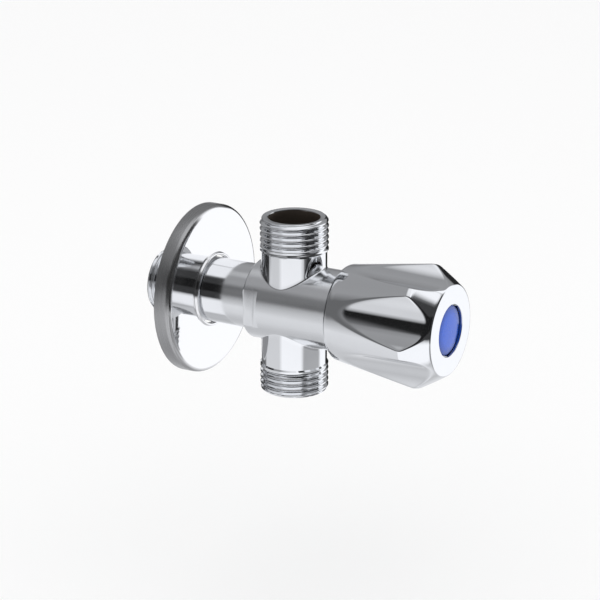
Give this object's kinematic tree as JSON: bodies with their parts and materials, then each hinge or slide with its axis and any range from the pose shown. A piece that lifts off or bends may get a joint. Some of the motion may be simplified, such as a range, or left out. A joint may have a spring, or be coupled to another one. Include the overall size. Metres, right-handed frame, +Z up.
{
  "type": "two-outlet angle stop valve",
  "caption": "Chromed angle stop valve with a wall inlet, an upper and a lower threaded outlet, a sliding escutcheon and a fluted handle that drives a seat plunger.",
  "frame": {"origin": "On the inlet axis, in the plane of the finished wall, which is where the escutcheon's rim rests.", "axes": "+X runs out of the wall along the inlet, the body and the spindle; +Z is up, along the upper outlet; the handle turns about +X."},
  "size_m": [0.0997, 0.0528, 0.055],
  "materials": {
    "body_chrome": "bright chrome plate on turned brass",
    "knob_chrome": "bright chrome plate on a cast knob",
    "cover_steel": "polished stainless face with a brushed rim",
    "brass": "turned, unplated",
    "steel": "plain stainless",
    "rubber": "moulded, matt black",
    "fibre": "pressed fibre",
    "nylon": "natural nylon",
    "blue_plastic": "gloss blue moulding"
  },
  "bodies": {
    "valve": {"valve_body": "body_chrome", "headwork_body": "brass", "headwork_gasket": "fibre", "thrust_washer": "nylon", "circlip_washer": "nylon"},
    "escutcheon": {"escutcheon": "cover_steel"},
    "handle": {"handle": "knob_chrome", "handle_insert": "brass", "handle_lock_washer": "steel", "handle_screw": "steel", "index_button": "blue_plastic", "spindle": "brass", "spindle_o_ring_inner": "rubber", "spindle_o_ring_outer": "rubber", "spindle_circlip": "steel"},
    "plunger": {"plunger": "brass", "plunger_o_ring": "rubber", "seat_washer": "rubber", "seat_washer_plate": "steel", "seat_washer_screw": "steel"}
  },
  "joints": [
    {"name": "handle_turn", "type": "hinge", "parent": "valve", "child": "handle", "pos_m": [0.0609, 0, 0], "axis": [1, 0, 0], "range_deg": [0, 990]},
    {"name": "plunger_lift", "type": "slide", "parent": "valve", "child": "plunger", "axis": [1, 0, 0], "range_m": [0, 0.00344]},
    {"name": "escutcheon_slide", "type": "slide", "parent": "valve", "child": "escutcheon", "axis": [1, 0, 0], "range_m": [0, 0.0156]}
  ],
  "couplings": [
    {"joint": "plunger_lift", "follows": "handle_turn", "m_per_rad": 0.00019894}
  ]
}
